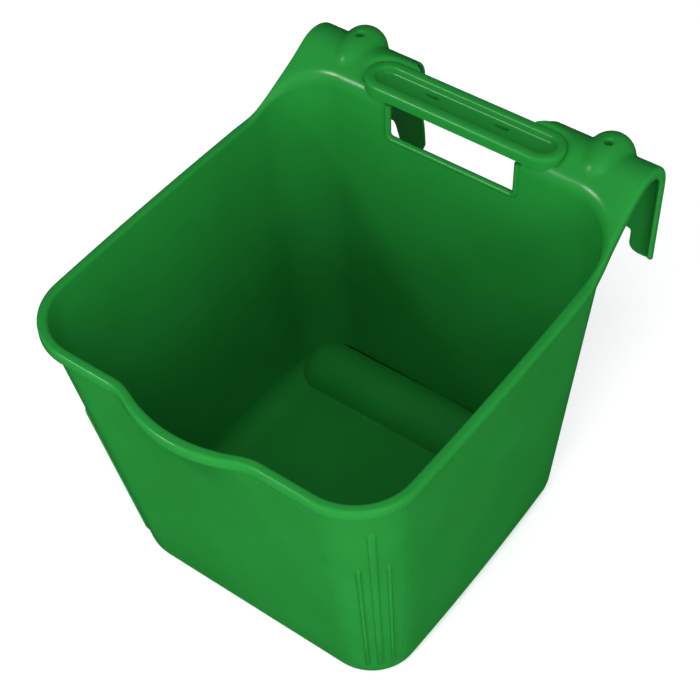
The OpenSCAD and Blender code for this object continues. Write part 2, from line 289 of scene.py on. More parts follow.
@dataclass(frozen=True)
class MouldedPlastic:
    """Glossy green polypropylene as it comes out of the mould."""

    name: str = "green_plastic"
    deep: tuple[float, float, float] = (0.0098, 0.160, 0.0205)
    bright: tuple[float, float, float] = (0.0112, 0.182, 0.0260)
    roughness: float = 0.24
    grain: float = 0.0012

    def material(self) -> bpy.types.Material:
        """Builds the finish: slight flow clouds, uneven gloss and a fine ripple of the mould.

        Returns:
            A procedural material on Object coordinates.
        """
        mat = bpy.data.materials.new(self.name)
        mat.use_nodes = True
        nodes, links = mat.node_tree.nodes, mat.node_tree.links
        nodes.clear()
        out = nodes.new("ShaderNodeOutputMaterial")
        shade = nodes.new("ShaderNodeBsdfPrincipled")
        links.new(shade.outputs["BSDF"], out.inputs["Surface"])
        shade.inputs["IOR"].default_value = 1.49
        shade.inputs["Specular IOR Level"].default_value = 0.45
        coords = nodes.new("ShaderNodeTexCoord")
        clouds = self._noise(mat, coords, 14.0, 3.0)
        ramp = nodes.new("ShaderNodeValToRGB")
        ramp.color_ramp.elements[0].position = 0.30
        ramp.color_ramp.elements[0].color = (*self.deep, 1)
        ramp.color_ramp.elements[1].position = 0.72
        ramp.color_ramp.elements[1].color = (*self.bright, 1)
        links.new(clouds, ramp.inputs["Fac"])
        links.new(ramp.outputs["Color"], shade.inputs["Base Color"])
        gloss = self._noise(mat, coords, 55.0, 4.0)
        spread = nodes.new("ShaderNodeMapRange")
        spread.inputs["To Min"].default_value = self.roughness - 0.045
        spread.inputs["To Max"].default_value = self.roughness + 0.055
        links.new(gloss, spread.inputs["Value"])
        links.new(spread.outputs["Result"], shade.inputs["Roughness"])
        ripple = self._noise(mat, coords, 900.0, 2.0)
        swell = self._noise(mat, coords, 70.0, 1.0)
        both = nodes.new("ShaderNodeMath")
        both.operation = "MULTIPLY_ADD"
        both.inputs[1].default_value = 3.0
        links.new(swell, both.inputs[0])
        links.new(ripple, both.inputs[2])
        bump = nodes.new("ShaderNodeBump")
        bump.inputs["Strength"].default_value = self.grain
        bump.inputs["Distance"].default_value = 0.0004
        links.new(both.outputs["Value"], bump.inputs["Height"])
        links.new(bump.outputs["Normal"], shade.inputs["Normal"])
        return mat

    @staticmethod
    def _noise(
        mat: bpy.types.Material, coords: bpy.types.Node, scale: float, detail: float
    ) -> bpy.types.NodeSocket:
        """Adds one noise pattern to the material and returns its value socket."""
        noise = mat.node_tree.nodes.new("ShaderNodeTexNoise")
        noise.inputs["Scale"].default_value = scale
        noise.inputs["Detail"].default_value = detail
        mat.node_tree.links.new(coords.outputs["Object"], noise.inputs["Vector"])
        return noise.outputs["Fac"]


@dataclass(frozen=True)
class StudioPaper:
    """Pale matte paper under the bucket."""

    name: str = "studio_paper"
    colour: tuple[float, float, float] = (0.90, 0.90, 0.90)
    glow: float = 0.22

    def material(self) -> bpy.types.Material:
        """Builds the floor's matte finish and returns it."""
        mat = bpy.data.materials.new(self.name)
        mat.use_nodes = True
        shade = mat.node_tree.nodes["Principled BSDF"]
        shade.inputs["Base Color"].default_value = (*self.colour, 1)
        shade.inputs["Roughness"].default_value = 0.9
        shade.inputs["Emission Color"].default_value = (1, 1, 1, 1)
        shade.inputs["Emission Strength"].default_value = self.glow
        return mat


def add_piece(name: str, bm: bmesh.types.BMesh, finish: bpy.types.Material) -> bpy.types.Object:
    """Turns a finished bmesh into a smooth shaded piece that rides on the root body.

    Args:
        name: Name of the piece.
        bm: The mesh, in metres in the shared frame. It is freed.
        finish: The material.

    Returns:
        The new object.
    """
    mesh = bpy.data.meshes.new(name)
    bm.to_mesh(mesh)
    bm.free()
    mesh.materials.append(finish)
    for face in mesh.polygons:
        face.use_smooth = True
    mesh.set_sharp_from_angle(angle=math.radians(38))
    obj = bpy.data.objects.new(name, mesh)
    bpy.context.scene.collection.objects.link(obj)
    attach(obj, "root")
    return obj


def new_row(bm: bmesh.types.BMesh, points: Sequence[Vector]) -> list[bmesh.types.BMVert]:
    """Starts a strip as one open row of points joined by edges, and returns its vertices."""
    verts = [bm.verts.new(p) for p in points]
    for a, b in zip(verts, verts[1:]):
        bm.edges.new((a, b))
    return verts


def extrude_row(
    bm: bmesh.types.BMesh, row: list[bmesh.types.BMVert], points: Sequence[Vector], closed: bool = False
) -> list[bmesh.types.BMVert]:
    """Extrudes a row of vertices and moves the new row onto given points.

    Args:
        bm: The mesh being built.
        row: Vertices of the last row, in order.
        points: Where the new row goes, in the same order.
        closed: True if the row is a ring.

    Returns:
        The new row's vertices, in order.
    """
    edges = [bm.edges.get(pair) for pair in zip(row, row[1:] + row[: 1 if closed else 0])]
    made = bmesh.ops.extrude_edge_only(bm, edges=edges)["geom"]
    fresh = {v for v in made if isinstance(v, bmesh.types.BMVert)}
    after = [next(e.other_vert(v) for e in v.link_edges if e.other_vert(v) in fresh) for v in row]
    for v, p in zip(after, points):
        v.co = p
    return after


@dataclass
class Shell:
    """The one-sheet skin of the moulding: tub, rim, bend and saddle, given its thickness at the end."""

    outline: WallOutline = field(default_factory=WallOutline)
    arch: ArchProfile = field(default_factory=ArchProfile)
    thickness: float = 2.6
    base_edge: float = 22.0
    even_rows_top: float = 262.0
    rim_out: float = 4.5
    skirt: float = 7.5
    fold: float = 2.6
    lip_depth: float = 8.0
    rim_end: float = 34.0
    bend_r: float = 15.0
    bend_steps: int = 9
    open_half: float = 56.0
    open_z: float = 277.0
    grip_y: float = 288.0
    grip_r: float = 25.3
    grip_open: float = 84.0
    grip_wall_y: float = 304.6
    dome_x: float = 107.0
    dome_r: float = 18.0
    dome_y: float = 350.0
    dome_z: float = 310.0
    dome_reach: float = 24.0
    dome_front: float = 308.0
    dome_sink: float = 9.0
    dome_rise: float = 16.0
    nose: tuple[tuple[float, float], ...] = (
        (-33.5, 0.0), (-33.1, 2.4), (-32, 5.4), (-29.7, 8.6), (-27, 11.8), (-23, 14.0), (-19, 15.8),
        (-14, 17.1), (-9, 17.9), (-4, 18.0), (0, 18.0),
    )
    hole_y: float = 344.0
    hole_r: float = 3.0
    blend: float = 2.2
    handle_mid: float = 66.5
    handle_r: float = 18.0
    handle_y: float = 323.5
    groove: float = 2.6
    groove_w: float = 4.5
    tuck: float = 1.0
    grid: float = 1.7
    bulge: float = 0.9
    crest: float = 327.98

    def stations(self) -> list[float]:
        """Stations of the right half, from the middle of the front round to the middle of the back."""
        spans = [(-12, 0, 30), (0, 12, 20), (12, 30, 18), (30, 36, 24), (36, 48, 20), (48, 60, 24)]
        rows = [a + (b - a) * k / n for a, b, n in spans for k in range(n)]
        return rows + [60.0]

    def bend_radius(self, i: float) -> float:
        """Radius over which the wall turns into the rim or the saddle at a station."""
        return self.fold + (self.bend_r - self.fold) * smooth_step(34.5, 46, i)

    def bend(self, i: float, t: float) -> Vector:
        """A point on the rounded bend between the wall and what lies on top of it.

        Args:
            i: The station.
            t: 0 where the bend leaves the wall, 1 where it reaches the rim or the slope.

        Returns:
            The point in millimetres.
        """
        r = self.bend_radius(i)
        z = self.arch.rim_h
        for _ in range(3):
            x, y = self.outline.point(i, min(z, 330), self.thickness)
            out = self.outline.outward(i, z)
            cy = y + out.y * r
            z = self.arch.sunk(cy, r) if i > 20 else self.arch.rim_h - r
        tilt = self.arch.tilt_sunk(cy, r) if i > 20 else 0.0
        low, high = -out, Vector((0, -math.sin(tilt), math.cos(tilt)))
        turn = low.angle(high)
        way = (low * math.sin((1 - t) * turn) + high * math.sin(t * turn)) / math.sin(turn)
        return Vector((x + out.x * r, cy, z)) + way * r

    def wall_rows(self) -> list[tuple[float, float]]:
        """Heights and insets of the rows over the floor, round the base edge and up the wall."""
        t, r = self.thickness, self.base_edge - self.thickness
        insets = [60, 54, 49] + [46 - 2 * k for k in range(12)]
        rows = [(t, float(d)) for d in insets]
        rows += [(t + r * (1 - math.cos(a)), t + r * (1 - math.sin(a))) for a in turn_steps(9, 0, 10)]
        rise = self.even_rows_top - self.base_edge
        rows += [(self.base_edge + rise * f, t) for f in (0.12, 0.3, 0.5, 0.68, 0.8, 0.88, 0.94, 1)]
        return rows + [(270.0, t), (self.open_z, t)]

    def flat(self, i: float) -> tuple[float, float]:
        """Where the end of the bend lies on the flat sheet of the saddle, across and along."""
        p = self.bend(i, 1.0)
        s = self.arch.length_at(p.y)
        return p.x - self.edge_x(s), s

    def tub(self, bm: bmesh.types.BMesh, stations: list[float]) -> list[bmesh.types.BMVert]:
        """Extrudes the floor, walls and bend of the right half.

        Args:
            bm: The mesh being built.
            stations: Stations of the rows, in order.

        Returns:
            The last row of the bend, where the rim or the saddle starts.
        """
        rows = self.wall_rows()
        first = [placed(*self.outline.point(i, 0, rows[0][1]), rows[0][0]) for i in stations]
        row = new_row(bm, first)
        bm.faces.new(row)
        for z, inset in rows[1:]:
            row = extrude_row(bm, row, [placed(*self.outline.point(i, z, inset), z) for i in stations])
        for k in range(self.bend_steps + 1):
            row = extrude_row(bm, row, [placed(*self.bend(i, k / self.bend_steps)) for i in stations])
        for v, i in zip(row, stations):
            if i > self.rim_end:
                v.co = placed(*self.rolled(*self.flat(i)))
        return row

    def rim(self, bm: bmesh.types.BMesh, row: list[bmesh.types.BMVert], stations: list[float]) -> None:
        """Carries the front and side rim on from the bend: flat top, rounded edge and skirt."""
        last = stations.index(self.rim_end)
        part = row[: last + 1]
        top, r, out = self.arch.rim_h, self.fold, self.rim_out
        section = [(top, r - out)]
        section += [(top - r * (1 - math.cos(a)), r * (1 - math.sin(a)) - out) for a in turn_steps(18, 1, 5)]
        section += [(top - 0.5 * (r + self.skirt), -out), (top - self.lip_depth, -out)]
        for z, inset in section:
            part = extrude_row(
                bm, part, [placed(*self.outline.point(i, top, inset), z) for i in stations[: last + 1]]
            )

    def edge_x(self, s: float) -> float:
        """Half width of the saddle at a length along its profile."""
        start = self.outline.point(self.rim_end, self.arch.rim_h, -self.rim_out)
        y = self.arch.at(s)[0] if s < self.arch.leg_start - self.arch.arc_len else math.inf
        rows = [(start[1], start[0]), (256, 151.4), (266, 149.8), (273.6, 148.9), (281, 148.0)]
        rows += [(290.4, 147.3), (300, 146.6), (308.5, 146.1), (318, 146.0)]
        return table_value(rows, y)

    def dome_lift(self, x: float, s: float) -> float:
        """How far the screw dome lifts the saddle's skin at a place on it.

        Args:
            x: Place across.
            s: Length along the profile.

        Returns:
            The lift along the skin's own normal, blended softly at the foot.
        """
        y, z, tilt = self.arch.at(s)
        if abs(x - self.dome_x) > self.dome_reach or y < self.dome_front:
            return 0.0
        foot, n = Vector((x, y, z)), Vector((0, -math.sin(tilt), math.cos(tilt)))
        low, high = -self.dome_sink, self.dome_rise
        if not self.inside_dome(foot + n * low):
            steps = [low + k for k in range(int(2 * self.dome_sink))]
            within = [step for step in steps if self.inside_dome(foot + n * step)]
            if not within:
                return 0.0
            low = within[-1]
        for _ in range(22):
            mid = (low + high) / 2
            low, high = (mid, high) if self.inside_dome(foot + n * mid) else (low, mid)
        return smooth_max(0.0, low, self.blend)

    def inside_dome(self, p: Vector) -> bool:
        """True if a point is within the dome's rounded body."""
        dx, dz, back = p.x - self.dome_x, p.z - self.dome_z, p.y - self.dome_y
        if back > 0:
            return dx * dx + dz * dz + back * back < self.dome_r**2
        r = table_value(self.nose, back)
        return r > 0 and dx * dx + dz * dz < r * r

    def rolled(self, u: float, s: float) -> Vector:
        """Rolls a point of the flat sheet over the arch and folds its side edge down.

        Args:
            u: Place across, from the side edge; past the fold it runs down the lip.
            s: Length along the profile.

        Returns:
            The point in millimetres.
        """
        y, z, tilt = self.arch.at(s)
        edge, t = self.edge_x(s), u + self.fold
        x, depth = edge + u, 0.0
        if t > 0:
            quarter = self.fold * math.pi / 2
            a = min(t, quarter) / self.fold
            x = edge - self.fold + self.fold * math.sin(a)
            depth = self.fold * (1 - math.cos(a)) + max(0.0, t - quarter)
        else:
            depth = self.groove_at(x, y) - self.dome_lift(x, s)
        return Vector((x, min(self.arch.hook_y, y + math.sin(tilt) * depth), z - math.cos(tilt) * depth))

    def off_handle(self, x: float, y: float) -> float:
        """Distance from the line under the handle where the sheet ends, negative inside it."""
        return math.hypot(max(0.0, x - self.handle_mid), y - self.handle_y) - self.handle_r + self.tuck

    def groove_at(self, x: float, y: float) -> float:
        """How far the sheet dips towards the handle's foot at a place on it."""
        off = self.off_handle(x, y)
        return self.groove * (1 - max(0.0, off) / self.groove_w) ** 2 if off <= self.groove_w else 0.0

    def meeting(self) -> float:
        """Station where the end of the bend runs in under the handle."""
        low, high = 44.0, 56.0
        for _ in range(30):
            mid = (low + high) / 2
            p = self.bend(mid, 1.0)
            outside = self.off_handle(p.x, p.y) > 0
            low, high = (mid, high) if outside else (low, mid)
        return low

    def saddle_edge(self) -> list[tuple[float, float]]:
        """Outline of the sheet behind the handle, round the hook's prongs to the side edge.

        Returns:
            Places across and lengths along the profile, in millimetres.
        """
        leg, at = self.arch.leg_length, self.arch.length_at
        start = self.bend(self.meeting(), 1.0)
        turn = math.atan2(start.y - self.handle_y, start.x - self.handle_mid)
        r, steps = self.handle_r - self.tuck, 24
        rows = []
        for k in range(1, steps + 1):
            a = turn + (math.pi / 2 - turn) * k / steps
            rows.append((self.handle_mid + r * math.cos(a), at(self.handle_y + r * math.sin(a))))
        back = self.handle_y + r
        rows += [(58, at(back)), (52.5, at(back)), (50.5, at(back + 0.9)), (52.5, at(back + 1.8))]
        rows += [(55, at(back + 3.6)), (58, at(back + 7)), (60, at(back + 12)), (61, leg(300))]
        rows += [(61.5, leg(280)), (62, leg(258)), (60, leg(238)), (59.5, leg(229)), (61, leg(224.5))]
        rows += [(64.5, leg(220.5))]
        rows += [(67, leg(219.6)), (77, leg(219.4)), (80.5, leg(221)), (82, leg(224)), (86, leg(237))]
        rows += [(88.5, leg(240.3)), (92, leg(241)), (121, leg(241))]
        rows += [(124.5, leg(240.2)), (126, leg(238)), (126, leg(226)), (127, leg(223)), (129.5, leg(220.8))]
        return rows + [(133, leg(219.8)), (138, leg(219.6))]

    def sheet(self) -> tuple[bmesh.types.BMesh, list[float]]:
        """Cuts the flat sheet of the right side of the saddle and rolls it over the arch.

        Returns:
            The rolled sheet, and every station where it meets the bend.
        """
        ends = [i for i in self.stations() if self.rim_end <= i < self.meeting() - 0.05] + [self.meeting()]
        border = [Vector(self.flat(i)) for i in ends]
        flat = [tuple(p) for p in border]
        flat += [(x - self.edge_x(s), s) for x, s in self.saddle_edge()]
        width = self.lip_depth - self.fold + self.fold * (math.pi / 2 - 1)
        leg = self.arch.leg_length
        flat += [(-2.6, leg(220.2)), (0, leg(220.6)), (3, leg(221.5)), (5, leg(223.5)), (width, leg(226))]
        flat.append((width, flat[0][1]))
        sheet = bmesh.new()
        sheet.faces.new([sheet.verts.new((u, s, 0)) for u, s in flat])
        self._cut_grid(sheet, border[0].y)
        met = set(ends)
        slack, near_end, near_line = 1e-5, 1e-4, 1e-3
        for v in sheet.verts:
            for a, b, ia, ib in zip(border, border[1:], ends, ends[1:]):
                t = (v.co.xy - a).dot(b - a) / (b - a).length_squared
                if -slack <= t <= 1 + slack and (a + (b - a) * t - v.co.xy).length < near_line:
                    i = ia if t < near_end else ib if t > 1 - near_end else ia + (ib - ia) * t
                    met.add(i)
                    v.co.xy = self.flat(i)
                    break
        for v in sheet.verts:
            v.co = placed(*self.rolled(v.co.x, v.co.y))
        return sheet, sorted(met)

    def _cut_grid(self, sheet: bmesh.types.BMesh, start: float) -> None:
        """Cuts the flat sheet into small squares over the dome and wider ones down the leg.

        Args:
            sheet: The flat sheet, across by length along the profile.
            start: Length along the profile where the sheet starts.
        """
        leg, quarter = self.arch.leg_length, self.fold * math.pi / 2
        fine = int((leg(295) - start) / self.grid)
        cuts = [start + self.grid * k for k in range(1, fine + 1)]
        cuts += [leg(z) for z in (294, 290, 284, 276, 266, 256, 248, 241, 238, 234, 230, 227, 224, 222)]
        for s in cuts:
            self._slice(sheet, (0, s, 0), (0, 1, 0))
        across = [-12 - self.grid * k for k in range(50)]
        across += [self.fold * a - self.fold for a in turn_steps(18, 0, 5)]
        for u in across + [quarter - self.fold + 2.45]:
            self._slice(sheet, (u, 0, 0), (1, 0, 0))

    @staticmethod
    def _slice(bm: bmesh.types.BMesh, co: Sequence[float], no: Sequence[float]) -> None:
        """Cuts every face of a flat sheet along a plane."""
        bmesh.ops.bisect_plane(bm, geom=whole(bm), dist=1e-4, plane_co=co, plane_no=no)

    def open_hand_hole(self, bm: bmesh.types.BMesh) -> None:
        """Cuts the hand opening out of the top of the back wall."""
        edge = placed(self.open_half, 298, self.open_z)
        start, end = placed(75, 298, 268), placed(0, 322, 0)
        for no in ((1, 0, 0), (0, 0, 1)):
            near = faces_where(bm, lambda c: abs(c.x) < start.x and c.y > start.y and c.z > start.z)
            bmesh.ops.bisect_plane(bm, geom=with_edges(near), dist=1e-7, plane_co=edge, plane_no=no)
        gone = faces_where(bm, lambda c: c.x < edge.x and edge.y < c.y < end.y and c.z > edge.z)
        bmesh.ops.delete(bm, geom=gone, context="FACES")

    def open_scoop(self, bm: bmesh.types.BMesh) -> None:
        """Opens the floor and the foot of the back wall under the hand-grip scoop."""
        low = self.grip_y - math.sqrt(self.grip_r**2 - self.thickness**2)
        high = math.sqrt(self.grip_r**2 - (self.grip_wall_y - self.grip_y) ** 2)
        edge, start = placed(self.grip_open, low, high), placed(0, low - 6, 40)
        for no in ((1, 0, 0), (0, 1, 0), (0, 0, 1)):
            near = faces_where(bm, lambda c: c.y > start.y and c.z < start.z)
            bmesh.ops.bisect_plane(bm, geom=with_edges(near), dist=1e-7, plane_co=edge, plane_no=no)
        gone = faces_where(bm, lambda c: c.x < edge.x and c.y > edge.y and c.z < edge.z)
        bmesh.ops.delete(bm, geom=gone, context="FACES")

    def bore_screw_hole(self, bm: bmesh.types.BMesh) -> None:
        """Opens the screw hole in the top of the dome and runs its tube down."""
        centre, skin_z, near = placed(self.dome_x, self.hole_y, 0), 318 * MM, 7.5 * MM

        def off(p: Vector) -> float:
            """Distance of a point from the hole's axis in the plan."""
            return math.hypot(p.x - centre.x, p.y - centre.y)

        def spread(edges: list[bmesh.types.BMEdge], scale: Callable[[Vector], float], drop: float) -> None:
            """Scales a ring of edges about the hole's axis and lowers it."""
            for v in {v for e in edges for v in e.verts}:
                k = scale(v.co)
                v.co.x, v.co.y = centre.x + (v.co.x - centre.x) * k, centre.y + (v.co.y - centre.y) * k
                v.co.z -= drop * MM

        gone = faces_where(bm, lambda c: c.z > skin_z and off(c) < self.hole_r * 1.25 * MM)
        bmesh.ops.delete(bm, geom=gone, context="FACES")
        edges = [e for e in bm.edges if e.is_boundary and e.verts[0].co.z > skin_z]
        edges = [e for e in edges if all(off(v.co) < near for v in e.verts)]
        spread(edges, lambda p: (self.hole_r + 0.9) * MM / off(p), 0.3)
        for scale, drop in ((0.84, 0.7), (0.92, 0.9), (1.0, 8.5)):
            made = bmesh.ops.extrude_edge_only(bm, edges=edges)["geom"]
            edges = [g for g in made if isinstance(g, bmesh.types.BMEdge) and g.is_boundary]
            spread(edges, lambda p, k=scale: k, drop)

    def thicken(self, bm: bmesh.types.BMesh) -> None:
        """Gives the skin its wall thickness, with every open edge rounded over.

        Args:
            bm: The one-sheet skin, with its normals on the inner and upper side.
        """
        bm.normal_update()
        rim = [e for e in bm.edges if e.is_boundary]
        ways: dict[bmesh.types.BMVert, Vector] = {}
        for e in rim:
            face, (a, b) = e.link_faces[0], e.verts
            way = (b.co - a.co).cross(face.normal).normalized()
            if way.dot((a.co + b.co) / 2 - face.calc_center_median()) < 0:
                way.negate()
            for v in (a, b):
                ways[v] = ways.get(v, Vector()) + way
        normals = {v: v.normal.copy() for v in bm.verts}
        made = bmesh.ops.duplicate(bm, geom=whole(bm))
        twin = made["vert_map"]
        for v, n in normals.items():
            twin[v].co = v.co - n * self.thickness * MM
        bmesh.ops.reverse_faces(bm, faces=[g for g in made["geom"] if isinstance(g, bmesh.types.BMFace)])
        now, edges, steps = {v: v for v in ways}, rim, 6
        for k in range(1, steps + 1):
            made = bmesh.ops.extrude_edge_only(bm, edges=edges)["geom"]
            fresh = {v for v in made if isinstance(v, bmesh.types.BMVert)}
            edges = [g for g in made if isinstance(g, bmesh.types.BMEdge) and fresh.issuperset(g.verts)]
            a = math.pi * k / steps
            for v, last in now.items():
                nxt = next(e.other_vert(last) for e in last.link_edges if e.other_vert(last) in fresh)
                way = (ways[v] - normals[v] * ways[v].dot(normals[v])).normalized()
                sink = self.thickness * (1 - math.cos(a)) / 2
                nxt.co = v.co + (way * self.bulge * math.sin(a) - normals[v] * sink) * MM
                now[v] = nxt
        bmesh.ops.weld_verts(bm, targetmap={last: twin[v] for v, last in now.items()})

    def build(self, finish: bpy.types.Material) -> bpy.types.Object:
        """Builds the whole skin and returns the piece.

        Args:
            finish: Material of the moulding.

        Returns:
            The shell.
        """
        bm = bmesh.new()
        sheet, met = self.sheet()
        stations = sorted(set(self.stations()) | set(met))
        row = self.tub(bm, stations)
        self.rim(bm, row, stations)
        mesh = bpy.data.meshes.new("sheet")
        sheet.to_mesh(mesh)
        sheet.free()
        bm.from_mesh(mesh)
        bpy.data.meshes.remove(mesh)
        bmesh.ops.remove_doubles(bm, verts=list(bm.verts), dist=WELD / 2)
        self.open_hand_hole(bm)
        self.open_scoop(bm)
        self.bore_screw_hole(bm)
        mirror_half(bm, WELD)
        bm.faces.ensure_lookup_table()
        low = min(bm.faces, key=lambda f: f.calc_center_median().z + abs(f.calc_center_median().x))
        if low.normal.z < 0:
            bmesh.ops.reverse_faces(bm, faces=list(bm.faces))
        self.thicken(bm)
        for v in bm.verts:
            v.co.z = min(self.crest * MM, max(0.0, v.co.z))
        return add_piece("tub_and_saddle", bm, finish)


def stadium(half: float, r: float, steps: int = 20) -> list[tuple[float, float]]:
    """Points round a stadium along X, anticlockwise from the lower right end.

    Args:
        half: Half length.
        r: Radius of the ends.
        steps: Segments in each end.

    Returns:
        Points in millimetres from its middle.
    """
    ends = []
    for side, start in ((1, -90), (-1, 90)):
        for k in range(steps + 1):
            a = math.radians(start + 180 * k / steps)
            ends.append((side * (half - r) + r * math.cos(a), r * math.sin(a)))
    return ends


@dataclass
class HandleTray:
    """The tray-shaped handle: outer skirt, rounded bead, channel and two drain slots."""

    y: float = 323.5
    half: float = 84.5
    r: float = 18.0
    top: float = 321.0
    foot: float = 311.0
    under: float = 311.4
    bead_r: float = 3.4
    brow: float = 6.4
    brow_r: float = 2.2
    channel: float = 9.0
    deep: float = 6.0
    slot_x: float = 30.0
    slot_y: float = 327.2
    slot_half: float = 6.2
    slot_r: float = 1.5
    wall: float = 2.6

    def section(self) -> list[tuple[float, float]]:
        """Heights and insets from the inside of the skirt, over the bead, down to the channel floor."""
        top, floor, b, e = self.top, self.top - self.deep, self.bead_r, self.brow_r
        rows = [(self.under, 7.0), (self.under, 4.2), (self.foot + 0.2, self.wall)]
        rows += [(self.foot, self.wall - 0.7), (self.foot, 0.7), (self.foot + 0.6, 0.0), (top - b, 0.0)]
        rows += [(top - b * (1 - math.sin(a)), b * (1 - math.cos(a))) for a in turn_steps(15, 1, 6)]
        rows += [(top + 0.15, 5.0), (top, self.brow)]
        rows += [(top - e * (1 - math.cos(a)), self.brow + e * math.sin(a)) for a in turn_steps(15, 1, 5)]
        rows += [(floor + 1.9, self.channel + 0.1), (floor + 0.7, self.channel + 0.7)]
        return rows + [(floor + 0.15, self.channel + 1.6), (floor, self.channel + 2.8)]

    def build(self, finish: bpy.types.Material) -> bpy.types.Object:
        """Builds the handle and returns it."""
        bm = bmesh.new()
        rows = self.section()

        def ring(z: float, inset: float) -> list[Vector]:
            """One closed row of the handle."""
            return [placed(x, self.y + y, z) for x, y in stadium(self.half - inset, self.r - inset)]

        row = [bm.verts.new(p) for p in ring(*rows[0])]
        for a, b in zip(row, row[1:] + row[:1]):
            bm.edges.new((a, b))
        under = bm.faces.new(row)
        for z, inset in rows[1:]:
            row = extrude_row(bm, row, ring(z, inset), closed=True)
        floor = bm.faces.new(row)
        self._slots(bm, floor, under)
        bmesh.ops.recalc_face_normals(bm, faces=list(bm.faces))
        return add_piece("handle_tray", bm, finish)

    def _slots(self, bm: bmesh.types.BMesh, floor: bmesh.types.BMFace, under: bmesh.types.BMFace) -> None:
        """Replaces the channel floor and the face under it with ones that have the two slots through them."""
        loops = []
        for face, z in ((floor, self.top - self.deep), (under, self.under)):
            edges = list(face.edges)
            bmesh.ops.delete(bm, geom=[face], context="FACES_ONLY")
            rings = []
            for side in (-1, 1):
                pts = stadium(self.slot_half, self.slot_r, 8)
                verts = [bm.verts.new(placed(side * self.slot_x + x, self.slot_y + y, z)) for x, y in pts]
                made = [bm.edges.new(pair) for pair in zip(verts, verts[1:] + verts[:1])]
                rings.append(made)
                edges += made
            bmesh.ops.triangle_fill(bm, edges=edges, use_beauty=True)
            loops.append(rings)
        for a, b in zip(*loops):
            bmesh.ops.bridge_loops(bm, edges=a + b)


@dataclass
class HandGrip:
    """The scoop in the base: a rounded ridge from corner to corner inside the tub, hollow below."""

    outline: WallOutline = field(default_factory=WallOutline)
    y: float = 288.0
    r: float = 28.0
    mid: float = 102.0
    floor: float = 2.62
    fillet: float = 2.4
    base_edge: float = 22.0
    cut_in: float = 1.3
    wall: float = 2.6

    def section(self) -> list[tuple[float, float]]:
        """Radius and height from the floor, round the foot and over the ridge."""
        f, z = self.fillet, self.floor
        reach = math.sqrt((self.r + f) ** 2 - (z + f) ** 2)
        start = math.atan2(z + f, reach)
        turn = math.pi / 2 - start
        foot = [(reach - f * math.sin(turn * k / 7), z + f - f * math.cos(turn * k / 7)) for k in range(8)]
        lift = [start + turn * k / 18 for k in range(1, 19)]
        return foot + [(max(0.02, self.r * math.cos(a)), self.r * math.sin(a)) for a in lift]

    def trims(self) -> list[tuple[Vector, Vector]]:
        """Planes that follow the middle of the tub's wall and base edge at the back.

        Returns:
            A point and an outward direction for each plane.
        """
        planes, r = [], self.base_edge - self.cut_in
        for i in [34.0] + [36 + 0.75 * k for k in range(17)] + [60.0]:
            for a in [math.radians(25 + 6.5 * k) for k in range(11)]:
                z, inset = self.base_edge - r * math.cos(a), self.base_edge - r * math.sin(a)
                out = self.outline.outward(i, z) * math.sin(a) - Vector((0, 0, math.cos(a)))
                planes.append((placed(*self.outline.point(i, z, inset), z), out))
        return planes

    def build(self, finish: bpy.types.Material) -> bpy.types.Object:
        """Builds the right half, trims it inside the tub's skin and mirrors it.

        Args:
            finish: Material of the moulding.

        Returns:
            The ridge, with live wall thickness.
        """
        bm = bmesh.new()
        path = [(0.0, -90.0)] + [(self.mid, -90 + 7.5 * k) for k in range(25)] + [(0.0, 90.0)]
        rings = []
        for r, z in self.section():
            ways = [(x, math.radians(a)) for x, a in path]
            rings.append([placed(x + r * math.cos(a), self.y + r * math.sin(a), z) for x, a in ways])
        row = new_row(bm, rings[0])
        for ring in rings[1:]:
            row = extrude_row(bm, row, ring)
        bmesh.ops.remove_doubles(bm, verts=list(bm.verts), dist=0.00006)
        for co, no in self.trims():
            bmesh.ops.bisect_plane(bm, geom=whole(bm), dist=1e-6, plane_co=co, plane_no=no, clear_outer=True)
        mirror_half(bm, 0.00005)
        crest = max(bm.faces, key=lambda f: f.calc_center_median().z)
        if crest.normal.z < 0:
            bmesh.ops.reverse_faces(bm, faces=list(bm.faces))
        ridge = add_piece("hand_grip_scoop", bm, finish)
        solid = ridge.modifiers.new("wall", "SOLIDIFY")
        solid.thickness, solid.offset = self.wall * MM, -1
        return ridge


@dataclass
class OpeningBead:
    """Rolled bead round the sides and the lower edge of the hand opening."""

    half: float = 56.0
    low: float = 277.0
    high: float = 308.0
    y: float = 308.2
    r: float = 2.3
    corner: float = 4.0

    def path(self) -> list[tuple[float, float]]:
        """Places across and heights along the bead."""
        c, h, z = self.corner, self.half, self.low
        left = [(-h, self.high), (-h, (self.high + z) / 2), (-h, z + c)]
        turn = [(-h + c - c * math.cos(a), z + c - c * math.sin(a)) for a in turn_steps(15, 1, 5)]
        half_path = left + turn + [(-h + c, z)]
        return half_path + [(-x, w) for x, w in reversed(half_path)]

    def build(self, finish: bpy.types.Material) -> bpy.types.Object:
        """Sweeps the bead along its path and returns it."""
        bm = bmesh.new()
        path, n = self.path(), 14
        rings = []
        for k, (x, z) in enumerate(path):
            a, b = path[max(0, k - 1)], path[min(len(path) - 1, k + 1)]
            side = Vector((b[1] - a[1], 0, a[0] - b[0])).normalized()
            ring = []
            for j in range(n):
                t = 2 * math.pi * j / n
                p = side * (self.r * math.cos(t)) + Vector((0, 1.25 * self.r * math.sin(t), 0))
                ring.append(placed(x + p.x, self.y + p.y, z + p.z))
            rings.append(ring)
        row = [bm.verts.new(p) for p in rings[0]]
        for a, b in zip(row, row[1:] + row[:1]):
            bm.edges.new((a, b))
        bm.faces.new(row)
        for ring in rings[1:]:
            row = extrude_row(bm, row, ring, closed=True)
        bm.faces.new(row)
        bmesh.ops.recalc_face_normals(bm, faces=list(bm.faces))
        return add_piece("hand_opening_bead", bm, finish)


